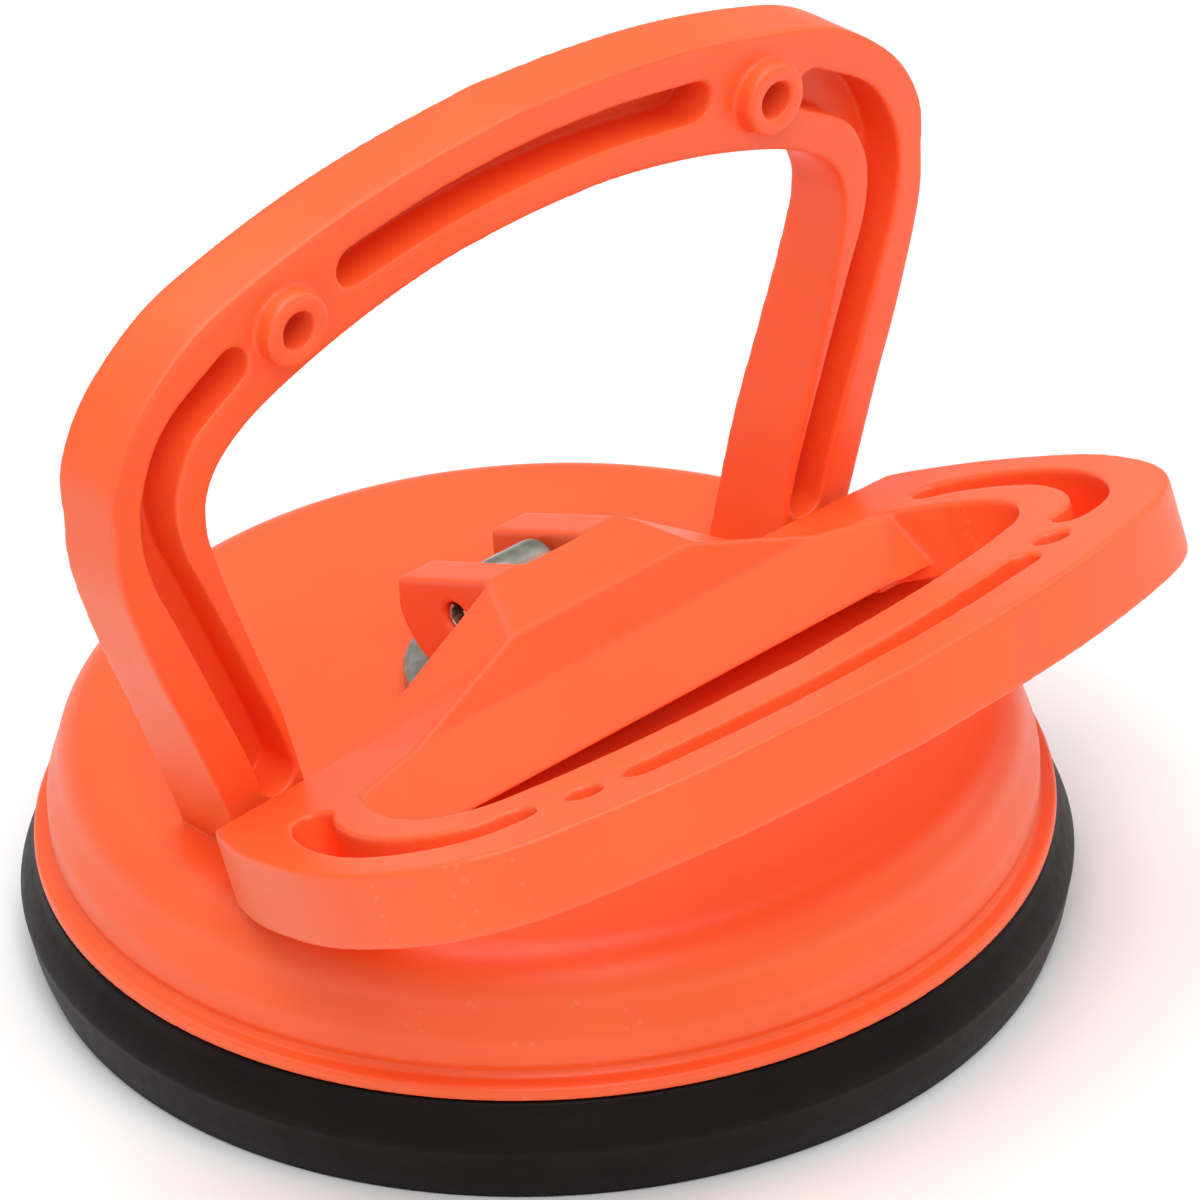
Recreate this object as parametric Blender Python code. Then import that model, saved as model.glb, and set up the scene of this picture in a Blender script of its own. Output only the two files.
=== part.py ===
"""Hand vacuum lifter with one lever, in metres, +Z up.

A round rubber cup seals against a flat surface. A moulded shell with a loop handle sits on its rim.
The lever's cheeks bear on a steel washer on top of the shell, so turning the lever up on its hinge pin
raises the pin, the eye stud and the plate that is bonded to the rubber, and a vacuum forms under the cup.
The origin is on the cup's axis at the suction lip. X runs along the hinge pin, and -Y is the lever's free end.
"""

import math

import bmesh
import bpy
from mathutils import Matrix, Vector

# Clearance between pieces that rest on or turn in each other
GAP = 0.0003

# Rubber cup
CUP_RADIUS = 0.059
CUP_HEIGHT = 0.012
CUP_WAIST_HEIGHT = 0.0068  # height of the widest line on the rim
LIP_WIDTH = 0.0048
LIP_INSET = 0.0017  # from the widest line in to the lip's outer edge
RIM_INSET = 0.002  # from the widest line in to the top edge
RIM_TOP_WIDTH = 0.0075
MEMBRANE_TOP = 0.007
HOLLOW_DEPTH = 0.003

# Pull plate and eye stud
PLATE_RADIUS = 0.030
PLATE_THICKNESS = 0.002
STUD_RADIUS = 0.0038
SPIGOT_RADIUS = 0.003
EYE_RADIUS = 0.0043
EYE_HALF_WIDTH = 0.0036
PULL_Y = 0.0022  # the pin, stud, washer and handle share this plane

# Hinge pin: a rolled spring pin
PIN_RADIUS = 0.0016
PIN_WALL = 0.0004
PIN_HALF_LENGTH = 0.0093
PIN_SLOT_ANGLE = math.radians(36)

# Shell
FLANGE_HEIGHT = 0.0016
SHELL_TOP = 0.0273
SHELL_WALL = 0.003
SHOULDER_RADIUS = 0.006
FLANGE_WIDTH = 0.0018  # from the wall out to the flange's edge
SHELL_DRAFT = 0.0012
SEAT_RADIUS = 0.013
SEAT_TOP = 0.0283

# Thrust washer
WASHER_RADIUS = 0.0135
WASHER_THICKNESS = 0.0027
WASHER_EDGE = 0.001
SHANK_CLEARANCE = 0.0008

# Handle, moulded in one piece with the shell
HANDLE_TOP = 0.1008
HANDLE_FRONT = -0.0022
HANDLE_DEPTH = 0.0087
FOOT_EXTRA_DEPTH = 0.0028
FOOT_TAPER_START = 0.6  # share of the handle's rise where the legs begin to thicken
HANDLE_EDGE = 0.0012
HANDLE_SLOT_WIDTH = 0.0047
HANDLE_SLOT_FLOOR = 0.003
FOOT_SINK = 0.0018
LOCK_BOSS_RADIUS = 0.0042
LOCK_HOLE_RADIUS = 0.002

# Lever
LEVER_REST = math.radians(21)
LEVER_TRAVEL = math.radians(68.5)
PULL_STROKE = 0.0012
LEVER_REACH = 0.0620
LEVER_INSET = 0.0007  # the lever is this much narrower than the cup on each side
PLATE_DROP = 0.0071  # from the pin's axis down to the lever's top face
LEVER_THICKNESS = 0.0085
LEVER_EDGE = 0.0018
LEVER_SLOT_WIDTH = 0.0043
LEVER_SLOT_DEPTH = 0.0065
CAM_LOW = 0.0086  # from the pin's axis down to the cheeks' foot at rest
CHEEK_INNER = 0.0042
CHEEK_OUTER = 0.0098
CHEEK_TOP = 0.0046
CHEEK_REAR = 0.0086  # from the pin's axis back to the cheeks' top corner
CHEEK_FRONT = 0.0105  # the cheeks run on inside the block as far as this
CHEEK_GAP_FRONT = 0.0077  # from the pin's axis forward to the end of the gap between the cheeks
CAM_OVERRUN = 1.008  # the cam goes on a little past the last point that touches
POCKET_CLEARANCE = 0.002
BLOCK_FLOOR = 0.0137  # from the pin's axis down to the underside behind the finger hole
RECESS_HALF_WIDTH = 0.036
RECESS_FRONT = 0.0202
HOLE_CORNER = 0.001

# Worked out from the sizes above
HALF_SPAN = CUP_RADIUS
LEVER_HALF_WIDTH = CUP_RADIUS - LEVER_INSET
FLANGE_RADIUS = CUP_RADIUS - RIM_INSET
WASHER_TOP = SEAT_TOP + GAP + WASHER_THICKNESS
PIN_Z = WASHER_TOP + GAP + CAM_LOW
BORE_RADIUS = PIN_RADIUS + GAP
BOSS_FRONT = PULL_Y - PLATE_DROP + GAP
LEVER_REAR = (
    PULL_Y - HANDLE_FRONT + GAP - PLATE_DROP * math.sin(LEVER_REST)
) / math.cos(LEVER_REST)
LOCK_X = 0.585 * HALF_SPAN

ROUND_STEPS = 96
SMALL_STEPS = 32
SEAT_STEPS = 62  # no corner of the seat or the hole falls on the shell's own spokes
HOLE_STEPS = 30
FAR = 0.1  # longer than any wall that a cutter goes through


# ---------------------------------------------------------------- outlines

def curve_through(points, steps=4):
    """A smooth open curve through the points, as a Catmull-Rom spline."""
    ends = [2 * Vector(points[0]) - Vector(points[1]), 2 * Vector(points[-1]) - Vector(points[-2])]
    knots = [ends[0]] + [Vector(p) for p in points] + [ends[1]]
    curve = []
    for a, b, c, d in zip(knots, knots[1:], knots[2:], knots[3:]):
        for step in range(steps):
            t = step / steps
            curve.append(
                0.5 * (2 * b + (c - a) * t + (2 * a - 5 * b + 4 * c - d) * t**2
                       + (3 * b - a - 3 * c + d) * t**3)
            )
    curve.append(knots[-2])
    return curve


def mirrored(half):
    """A closed outline from its half at X >= 0. Points on the centre line are used once."""
    other = [Vector((-p[0], p[1])) for p in reversed(half) if p[0] > 1e-6]
    return [Vector(p) for p in half] + other


def ribbon(points, width, steps=4):
    """A slot's outline: a smooth centre line with parallel sides and round ends."""
    line = curve_through(points, steps)
    left, right = [], []
    for index, point in enumerate(line):
        along = (line[min(index + 1, len(line) - 1)] - line[max(index - 1, 0)]).normalized()
        side = Vector((-along.y, along.x)) * width / 2
        left.append(point + side)
        right.append(point - side)
    return left + arc_end(line[-1], left[-1]) + right[::-1] + arc_end(line[0], right[0])


def arc_end(centre, start, steps=6):
    """The points between start and the one opposite it, round the outside of a slot's end."""
    spoke = start - centre
    turns = [-math.pi * step / steps for step in range(1, steps)]
    return [centre + Matrix.Rotation(turn, 2) @ spoke for turn in turns]


def circle(x, y, radius, steps=SMALL_STEPS):
    angles = [2 * math.pi * step / steps for step in range(steps)]
    return [Vector((x + radius * math.cos(a), y + radius * math.sin(a))) for a in angles]


def arc(centre, radius, start, end, steps):
    angles = [start + (end - start) * step / steps for step in range(steps + 1)]
    return [(centre[0] + radius * math.cos(a), centre[1] + radius * math.sin(a)) for a in angles]


# ---------------------------------------------------------------- solids

def object_from(mesh_data, name):
    """Closes the bmesh into an object, with its faces turned outwards."""
    bmesh.ops.recalc_face_normals(mesh_data, faces=mesh_data.faces[:])
    mesh = bpy.data.meshes.new(name)
    mesh_data.to_mesh(mesh)
    mesh_data.free()
    obj = bpy.data.objects.new(name, mesh)
    bpy.context.scene.collection.objects.link(obj)
    return obj


def add_prism(solid, outline, low, high, place):
    """Extrudes an outline from low to high. place(a, b, height) gives the point in space."""
    bottom = [solid.verts.new(place(p[0], p[1], low)) for p in outline]
    top = [solid.verts.new(place(p[0], p[1], high)) for p in outline]
    solid.faces.new(bottom)
    solid.faces.new(top[::-1])
    for index in range(len(outline)):
        after = (index + 1) % len(outline)
        solid.faces.new((bottom[index], top[index], top[after], bottom[after]))
    return bottom, top


def prisms(name, outlines, low, high, place):
    solid = bmesh.new()
    for outline in outlines:
        add_prism(solid, outline, low, high, place)
    return object_from(solid, name)


def facing_front(x, z, y):
    """Outlines drawn in the XZ plane and extruded along Y."""
    return Vector((x, y, z))


def upright(x, y, z):
    return Vector((x, y, z))


def on_lever(x, u, w):
    """Lever coordinates: u runs from the pin to the free end, and w is square to the lever's top."""
    return Vector((x, -u, w))


def across_lever(u, w, x):
    return Vector((x, -u, w))


def turned(name, profile, y=0.0, steps=ROUND_STEPS):
    """A solid of revolution about the vertical line at y, from a closed profile of (radius, z)."""
    solid = bmesh.new()
    rings = []
    for radius, z in profile:
        if radius < 1e-7:
            rings.append([solid.verts.new((0, y, z))] * steps)
            continue
        angles = [2 * math.pi * step / steps for step in range(steps)]
        rings.append(
            [solid.verts.new((radius * math.cos(a), y + radius * math.sin(a), z)) for a in angles]
        )
    for ring, following in zip(rings, rings[1:] + rings[:1]):
        for step in range(steps):
            after = (step + 1) % steps
            corners = [ring[step], ring[after], following[after], following[step]]
            corners = [v for i, v in enumerate(corners) if v is not corners[i - 1]]
            if len(corners) > 2:
                solid.faces.new(corners)
    return object_from(solid, name)


def combine(target, other, operation):
    """Adds a Boolean to target. The other object stays in the scene as a hidden guide."""
    modifier = target.modifiers.new(f"{operation.lower()} {other.name}", "BOOLEAN")
    modifier.operation = operation
    modifier.object = other
    modifier.solver = "EXACT"
    other.hide_render = True
    other.display_type = "WIRE"


def round_edges(solid, edges, offset, segments=2):
    bmesh.ops.bevel(
        solid, geom=edges, offset=offset, segments=segments, profile=0.5, affect="EDGES",
        clamp_overlap=True,
    )


def finish(obj, name, colour, roughness, metallic=0.0):
    """Names the finished piece, gives it its material and shades its round faces smooth."""
    obj.name = name
    material = bpy.data.materials.new(name)
    material.use_nodes = True
    shader = material.node_tree.nodes["Principled BSDF"]
    shader.inputs["Base Color"].default_value = (*colour, 1.0)
    shader.inputs["Roughness"].default_value = roughness
    shader.inputs["Metallic"].default_value = metallic
    obj.data.materials.append(material)
    obj.data.shade_smooth()
    obj.data.set_sharp_from_angle(angle=math.radians(35))


# ---------------------------------------------------------------- rubber, plate, stud, pin, washer

def rubber_cup():
    lip = CUP_RADIUS - LIP_INSET
    rim_inner = CUP_RADIUS - RIM_INSET - RIM_TOP_WIDTH
    profile = [
        (0, MEMBRANE_TOP),
        (rim_inner - (CUP_HEIGHT - MEMBRANE_TOP), MEMBRANE_TOP),
        (rim_inner, CUP_HEIGHT),
        (CUP_RADIUS - RIM_INSET, CUP_HEIGHT),
        (CUP_RADIUS, CUP_WAIST_HEIGHT),
        (lip, 0),
        (lip - LIP_WIDTH, 0),
        (0.8 * (lip - LIP_WIDTH), 0.7 * HOLLOW_DEPTH),
        (0.5 * (lip - LIP_WIDTH), HOLLOW_DEPTH),
        (0, HOLLOW_DEPTH),
    ]
    return turned("rubber_cup", profile)


def pull_plate():
    low = MEMBRANE_TOP + GAP
    high = low + PLATE_THICKNESS
    hole = SPIGOT_RADIUS + GAP
    profile = [(hole, high), (PLATE_RADIUS, high), (PLATE_RADIUS, low), (hole, low)]
    return turned("pull_plate", profile, y=PULL_Y, steps=64)


def pull_stud():
    foot = MEMBRANE_TOP + 2 * GAP
    shoulder = MEMBRANE_TOP + PLATE_THICKNESS + 2 * GAP
    profile = [
        (0, PIN_Z),
        (STUD_RADIUS, PIN_Z),
        (STUD_RADIUS, shoulder),
        (SPIGOT_RADIUS, shoulder),
        (SPIGOT_RADIUS, foot),
        (0, foot),
    ]
    stud = turned("pull_stud", profile, y=PULL_Y, steps=SMALL_STEPS)
    eye = prisms("stud_eye", [circle(PULL_Y, PIN_Z, EYE_RADIUS)], -EYE_HALF_WIDTH, EYE_HALF_WIDTH,
                 lambda y, z, x: Vector((x, y, z)))
    bore = prisms("stud_bore", [circle(PULL_Y, PIN_Z, BORE_RADIUS)], -FAR, FAR,
                  lambda y, z, x: Vector((x, y, z)))
    combine(stud, eye, "UNION")
    combine(stud, bore, "DIFFERENCE")
    return stud


def hinge_pin():
    """A rolled tube with a lengthwise slot. Its origin is on the hinge's axis."""
    start = PIN_SLOT_ANGLE / 2
    end = 2 * math.pi - start
    outer = arc((0, 0), PIN_RADIUS, start, end, 28)
    inner = arc((0, 0), PIN_RADIUS - PIN_WALL, end, start, 28)
    pin = prisms("hinge_pin", [outer + inner], -PIN_HALF_LENGTH, PIN_HALF_LENGTH,
                 lambda y, z, x: Vector((x, y, z)))
    pin.location = (0, PULL_Y, PIN_Z)
    return pin


def thrust_washer():
    low = SEAT_TOP + GAP
    hole = STUD_RADIUS + SHANK_CLEARANCE
    edge = arc((WASHER_RADIUS - WASHER_EDGE, WASHER_TOP - WASHER_EDGE), WASHER_EDGE,
               math.pi / 2, 0, 4)
    profile = [(hole, WASHER_TOP)] + edge + [(WASHER_RADIUS, low), (hole, low)]
    return turned("thrust_washer", profile, y=PULL_Y, steps=64)


# ---------------------------------------------------------------- housing

def shell():
    """The hollow dome: flange, groove, wall, rounded shoulder and nearly flat top."""
    bottom = CUP_HEIGHT + GAP
    wall = FLANGE_RADIUS - FLANGE_WIDTH
    centre = (wall - SHELL_DRAFT - SHOULDER_RADIUS, SHELL_TOP - SHOULDER_RADIUS)
    flange_top = bottom + FLANGE_HEIGHT
    inner_wall = wall - SHELL_WALL
    inner_top = SHELL_TOP - SHELL_WALL
    profile = [(0, SHELL_TOP)]
    profile += arc(centre, SHOULDER_RADIUS, math.pi / 2, math.radians(12), 7)
    profile += [
        (wall, (SHELL_TOP + flange_top) / 2 - 0.002),
        (wall, flange_top + 0.0016),
        (wall - 0.0003, flange_top + 0.0009),
        (wall + 0.0002, flange_top + 0.0003),
        (FLANGE_RADIUS - 0.0004, flange_top),
        (FLANGE_RADIUS, flange_top - 0.0004),
        (FLANGE_RADIUS, bottom),
        (inner_wall, bottom),
        (inner_wall, inner_top - SHOULDER_RADIUS + 0.001),
        (inner_wall - 0.0015, inner_top - 0.0015),
        (centre[0], inner_top),
        (0, inner_top),
    ]
    return turned("housing", profile)


def handle_point(across, rise):
    """A point of the handle, from its share of the half span and of the rise above the shell."""
    return Vector((across * HALF_SPAN, SHELL_TOP + rise * (HANDLE_TOP - SHELL_TOP)))


def loop_outline(points):
    """The smooth half outline from the crown to the foot, closed down inside the shell's top."""
    half = curve_through([handle_point(*p) for p in points], 3)
    half.append(Vector((half[-1].x, SHELL_TOP - FOOT_SINK)))
    return mirrored(half)


OUTER_LOOP = (
    (0, 1), (0.24, 0.988), (0.444, 0.966), (0.647, 0.928), (0.80, 0.883), (0.932, 0.799),
    (0.995, 0.710), (1.0, 0.629), (0.99, 0.533), (0.932, 0.386), (0.864, 0.250), (0.785, 0.079),
    (0.75, 0),
)
INNER_LOOP = (
    (0, 0.826), (0.20, 0.818), (0.40, 0.790), (0.58, 0.748), (0.70, 0.705), (0.772, 0.650),
    (0.790, 0.580), (0.762, 0.485), (0.708, 0.356), (0.652, 0.226), (0.615, 0.109), (0.585, 0),
)
LEG_SLOT = (
    (0.712, 0.810), (0.831, 0.751), (0.881, 0.687), (0.897, 0.622), (0.881, 0.543),
    (0.836, 0.456), (0.783, 0.352), (0.705, 0.197), (0.671, 0.116),
)
CROWN_SLOT = ((-0.417, 0.879), (-0.21, 0.902), (0, 0.910), (0.21, 0.902), (0.417, 0.879))
LOCK_HOLE_RISE = 0.842


def handle():
    """The loop: one plate with rounded edges whose legs thicken backwards towards their feet."""
    solid = bmesh.new()
    back = HANDLE_FRONT + HANDLE_DEPTH
    add_prism(solid, loop_outline(OUTER_LOOP), HANDLE_FRONT, back, facing_front)
    bmesh.ops.recalc_face_normals(solid, faces=solid.faces[:])
    rims = [e for e in solid.edges if abs(e.verts[0].co.y - e.verts[1].co.y) < 1e-6]
    foot = SHELL_TOP - FOOT_SINK
    rims = [e for e in rims if max(v.co.z for v in e.verts) > foot + 1e-5]
    round_edges(solid, rims, HANDLE_EDGE)
    start = SHELL_TOP + FOOT_TAPER_START * (HANDLE_TOP - SHELL_TOP)
    bmesh.ops.bisect_plane(solid, geom=solid.verts[:] + solid.edges[:] + solid.faces[:],
                           plane_co=(0, 0, start), plane_no=(0, 0, 1))
    for vertex in solid.verts:
        below = (start - vertex.co.z) / (start - SHELL_TOP)
        if below > 0:
            depth = (vertex.co.y - HANDLE_FRONT) / HANDLE_DEPTH
            vertex.co.y += FOOT_EXTRA_DEPTH * below * depth
    return object_from(solid, "handle_solid")


def housing():
    body = shell()
    loop = handle()
    inner = loop_outline(INNER_LOOP)
    opening = prisms("handle_opening", [inner], -FAR, FAR, facing_front)
    seat = turned("washer_seat", [(0, SEAT_TOP), (SEAT_RADIUS, SEAT_TOP),
                                  (SEAT_RADIUS, SHELL_TOP - FOOT_SINK), (0, SHELL_TOP - FOOT_SINK)],
                  y=PULL_Y, steps=SEAT_STEPS)
    lock_z = handle_point(0, LOCK_HOLE_RISE).y
    locks = [(LOCK_X, lock_z), (-LOCK_X, lock_z)]
    bosses = prisms("lock_bosses", [circle(x, z, LOCK_BOSS_RADIUS) for x, z in locks],
                    BOSS_FRONT, HANDLE_FRONT + HANDLE_DEPTH / 2, facing_front)
    leg = [handle_point(*p) for p in LEG_SLOT]
    other_leg = [Vector((-p.x, p.y)) for p in leg]
    crown = [handle_point(*p) for p in CROWN_SLOT]
    slots = prisms("handle_slots", [ribbon(line, HANDLE_SLOT_WIDTH) for line in (leg, other_leg, crown)],
                   -FAR, HANDLE_FRONT + HANDLE_DEPTH - HANDLE_SLOT_FLOOR, facing_front)
    holes = prisms("lock_holes", [circle(x, z, LOCK_HOLE_RADIUS) for x, z in locks],
                   -FAR, FAR, facing_front)
    hole = STUD_RADIUS + SHANK_CLEARANCE
    above = SEAT_TOP + FOOT_SINK
    below = SHELL_TOP - SHELL_WALL - FOOT_SINK
    shank = turned("shank_hole", [(0, above), (hole, above), (hole, below), (0, below)],
                   y=PULL_Y, steps=HOLE_STEPS)
    combine(loop, opening, "DIFFERENCE")
    combine(loop, slots, "DIFFERENCE")
    combine(loop, bosses, "UNION")
    combine(loop, holes, "DIFFERENCE")
    combine(body, loop, "UNION")
    combine(body, seat, "UNION")
    combine(body, shank, "DIFFERENCE")
    return body


# ---------------------------------------------------------------- lever

def lever_point(across, along):
    """A point of the lever's top, from its share of the half width and of the length."""
    return Vector((across * LEVER_HALF_WIDTH, LEVER_REAR + along * (LEVER_REACH - LEVER_REAR)))


LEVER_SIDE = (
    (0, 1), (0.24, 0.984), (0.458, 0.955), (0.660, 0.905), (0.806, 0.850), (0.897, 0.780),
    (0.959, 0.682), (0.992, 0.5645), (1.0, 0.464), (0.988, 0.363), (0.952, 0.2126),
    (0.900, 0.087), (0.866, 0.028),
)
LEVER_BACK = ((0.686, 0.015), (0.513, 0))
FINGER_HOLE_FRONT = (
    (0.729, 0.330), (0.750, 0.414), (0.746, 0.497), (0.714, 0.554), (0.662, 0.596),
    (0.604, 0.615), (0.531, 0.636), (0.326, 0.672), (0, 0.697),
)
CORNER_SLOT = (
    (0.793, 0.229), (0.829, 0.280), (0.863, 0.363), (0.878, 0.447), (0.875, 0.514),
    (0.854, 0.581), (0.819, 0.640), (0.768, 0.688), (0.704, 0.708),
)
FRONT_SLOT = ((-0.480, 0.799), (-0.240, 0.833), (0, 0.8425), (0.240, 0.833), (0.480, 0.799))
LOCK_HOLE_ALONG = 0.767

# The raised block behind the finger hole: half of its corners, as (X, u, w) on the lever
BLOCK_TOP_REAR = (CHEEK_OUTER, 0.0078, CHEEK_TOP)
BLOCK_RIDGE = (0.0135, 0.0144, 0)
BLOCK_STEP = (0.0295, 0.0152, -0.0056)
BLOCK_FOOT = (0.0425, 0.0192, -0.0139)
BLOCK_WING_REAR = (0.030, LEVER_REAR + 0.0005, -PLATE_DROP - 0.0002)
BLOCK_WING_FRONT_X = 0.040
BLOCK_SINK = 0.003
FINGER_HOLE_REAR = 0.0150


def lever_block():
    solid = bmesh.new()

    def corner(point):
        return [solid.verts.new(on_lever(side * point[0], point[1], point[2])) for side in (1, -1)]

    wing_height = BLOCK_WING_REAR[2]
    down = (BLOCK_STEP[2] - wing_height) / (BLOCK_STEP[2] - BLOCK_FOOT[2])
    wing_front_u = BLOCK_STEP[1] + down * (BLOCK_FOOT[1] - BLOCK_STEP[1])
    top_rear = corner(BLOCK_TOP_REAR)
    ridge = corner(BLOCK_RIDGE)
    step = corner(BLOCK_STEP)
    foot = corner(BLOCK_FOOT)
    wing_front = corner((BLOCK_WING_FRONT_X, wing_front_u, wing_height))
    wing_rear = corner(BLOCK_WING_REAR)
    base_rear = corner((BLOCK_WING_REAR[0], BLOCK_WING_REAR[1], -PLATE_DROP - BLOCK_SINK))
    for side in (0, 1):
        solid.faces.new((top_rear[side], wing_rear[side], ridge[side]))
        solid.faces.new((ridge[side], wing_rear[side], step[side]))
        solid.faces.new((step[side], wing_rear[side], wing_front[side]))
        solid.faces.new((wing_rear[side], base_rear[side], foot[side], wing_front[side]))
    solid.faces.new((top_rear[0], ridge[0], ridge[1], top_rear[1]))
    solid.faces.new((ridge[0], step[0], step[1], ridge[1]))
    solid.faces.new((step[0], wing_front[0], foot[0], foot[1], wing_front[1], step[1]))
    solid.faces.new((top_rear[0], top_rear[1], wing_rear[1], wing_rear[0]))
    solid.faces.new((wing_rear[0], wing_rear[1], base_rear[1], base_rear[0]))
    solid.faces.new((base_rear[0], foot[0], foot[1], base_rear[1]))
    bmesh.ops.triangulate(solid, faces=solid.faces[:])
    return object_from(solid, "lever_block")


def cam_point(turn):
    """The cheek's contact point at this lever angle, so that the pin rises evenly with the turn."""
    rise = PULL_STROKE / LEVER_TRAVEL
    height = CAM_LOW + rise * (turn - LEVER_REST)
    u = -(height * math.sin(turn) + rise * math.cos(turn))
    w = -(height * math.cos(turn) - rise * math.sin(turn))
    return u, w


def cheek_outline():
    turns = [LEVER_REST + LEVER_TRAVEL * CAM_OVERRUN * step / 10 for step in range(11)]
    cam = [cam_point(turn) for turn in turns]
    floor = -(CAM_LOW + CHEEK_FRONT * math.sin(LEVER_REST)) / math.cos(LEVER_REST)
    return cam + [
        (-CHEEK_REAR, CHEEK_TOP),
        (BLOCK_TOP_REAR[1], CHEEK_TOP),
        (CHEEK_FRONT, BLOCK_RIDGE[2]),
        (CHEEK_FRONT, floor),
    ]


def finger_hole():
    """A straight rear edge along the block, and a smooth bow round the front."""
    half = [(0, FINGER_HOLE_REAR), (BLOCK_WING_FRONT_X - HOLE_CORNER, FINGER_HOLE_REAR)]
    half += curve_through([lever_point(*p) for p in FINGER_HOLE_FRONT], 3)
    return mirrored(half)


def lever():
    """Drawn in lever coordinates about the hinge, then tilted to its rest angle."""
    top = -PLATE_DROP
    solid = bmesh.new()
    side = curve_through([lever_point(*p) for p in LEVER_SIDE], 3)
    outline = mirrored(side + [lever_point(*p) for p in LEVER_BACK])
    under, _ = add_prism(solid, outline, top - LEVER_THICKNESS, top, on_lever)
    bmesh.ops.recalc_face_normals(solid, faces=solid.faces[:])
    rims = [e for e in solid.edges if e.verts[0] in under and e.verts[1] in under]
    round_edges(solid, rims, LEVER_EDGE)
    plate = object_from(solid, "lever")
    block = lever_block()
    cheeks = prisms("lever_cheeks", [cheek_outline()], -CHEEK_OUTER, CHEEK_OUTER, across_lever)
    hole = prisms("finger_hole", [finger_hole()], -FAR, FAR, on_lever)
    corner = [lever_point(*p) for p in CORNER_SLOT]
    other_corner = [Vector((-p.x, p.y)) for p in corner]
    front = [lever_point(*p) for p in FRONT_SLOT]
    slots = prisms("lever_slots", [ribbon(line, LEVER_SLOT_WIDTH) for line in (corner, other_corner, front)],
                   top - LEVER_SLOT_DEPTH, FAR, on_lever)
    lock_u = lever_point(0, LOCK_HOLE_ALONG).y
    locks = prisms("lever_lock_holes", [circle(x, lock_u, LOCK_HOLE_RADIUS) for x in (LOCK_X, -LOCK_X)],
                   -FAR, FAR, on_lever)
    gap_outline = [(-FAR, -FAR), (CHEEK_GAP_FRONT, -FAR), (CHEEK_GAP_FRONT, FAR), (-FAR, FAR)]
    gap = prisms("cheek_gap", [gap_outline], -CHEEK_INNER, CHEEK_INNER, across_lever)
    bore = prisms("lever_bore", [circle(0, 0, BORE_RADIUS)], -FAR, FAR, across_lever)
    on_hinge = [plate, block, cheeks, hole, slots, locks, gap, bore]
    recess_outline = [(-RECESS_HALF_WIDTH, -FAR), (RECESS_HALF_WIDTH, -FAR),
                      (RECESS_HALF_WIDTH, RECESS_FRONT), (-RECESS_HALF_WIDTH, RECESS_FRONT)]
    recess = prisms("block_recess", [recess_outline], -FAR, -BLOCK_FLOOR, on_lever)
    on_hinge.append(recess)
    for piece in on_hinge:
        piece.location = (0, PULL_Y, PIN_Z)
        piece.rotation_euler = (-LEVER_REST, 0, 0)
    reach = 2 * CUP_RADIUS
    square = [(-reach, -reach), (reach, -reach), (reach, reach), (-reach, reach)]
    heel = prisms("heel_trim", [square], -FAR, SHELL_TOP + GAP, upright)
    pocket = prisms("seat_pocket", [circle(0, PULL_Y, WASHER_RADIUS + POCKET_CLEARANCE, 48)], -FAR,
                    WASHER_TOP + 2 * GAP, upright)
    combine(plate, hole, "DIFFERENCE")
    combine(plate, block, "UNION")
    combine(plate, slots, "DIFFERENCE")
    combine(plate, locks, "DIFFERENCE")
    combine(plate, recess, "DIFFERENCE")
    combine(plate, heel, "DIFFERENCE")
    combine(plate, pocket, "DIFFERENCE")
    combine(plate, cheeks, "UNION")
    combine(plate, gap, "DIFFERENCE")
    combine(plate, bore, "DIFFERENCE")
    return plate


def main():
    for obj in list(bpy.data.objects):
        bpy.data.objects.remove(obj)
    orange = (1.0, 0.17, 0.06)
    steel = (0.55, 0.54, 0.50)
    finish(rubber_cup(), "rubber_cup", (0.012, 0.008, 0.009), 0.55)
    finish(pull_plate(), "pull_plate", steel, 0.4, 1.0)
    finish(pull_stud(), "pull_stud", steel, 0.3, 1.0)
    finish(hinge_pin(), "hinge_pin", steel, 0.3, 1.0)
    finish(thrust_washer(), "thrust_washer", steel, 0.35, 1.0)
    finish(housing(), "housing", orange, 0.45)
    finish(lever(), "lever", orange, 0.45)


main()
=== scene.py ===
import math

import bmesh
import bpy
from mathutils import Matrix, Vector


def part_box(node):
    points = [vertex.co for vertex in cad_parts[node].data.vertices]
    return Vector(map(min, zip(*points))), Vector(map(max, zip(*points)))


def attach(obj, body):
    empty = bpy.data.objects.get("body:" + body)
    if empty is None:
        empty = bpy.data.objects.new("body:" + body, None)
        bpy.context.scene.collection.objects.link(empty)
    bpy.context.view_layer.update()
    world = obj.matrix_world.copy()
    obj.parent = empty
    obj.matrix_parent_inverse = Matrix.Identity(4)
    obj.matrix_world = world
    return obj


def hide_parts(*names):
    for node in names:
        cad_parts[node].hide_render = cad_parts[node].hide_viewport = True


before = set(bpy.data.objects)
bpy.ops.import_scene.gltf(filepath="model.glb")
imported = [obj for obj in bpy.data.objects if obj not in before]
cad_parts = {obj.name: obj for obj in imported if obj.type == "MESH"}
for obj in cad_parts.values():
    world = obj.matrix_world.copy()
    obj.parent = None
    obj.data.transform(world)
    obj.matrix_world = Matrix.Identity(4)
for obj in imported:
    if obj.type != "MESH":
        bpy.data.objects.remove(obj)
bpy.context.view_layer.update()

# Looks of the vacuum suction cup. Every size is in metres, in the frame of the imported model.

FAR = 0.1  # longer than any wall that a cutter goes through
SPOKES = 256
SEAT_SPOKES = 254  # no corner of the seat or of its hole falls on the shell's own spokes
SHANK_SPOKES = 62
RING_SPOKES = 128
CIRCLE_STEPS = 64
CURVE_STEPS = 12
END_STEPS = 12  # round each end of a slot
CAM_STEPS = 30

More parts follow.
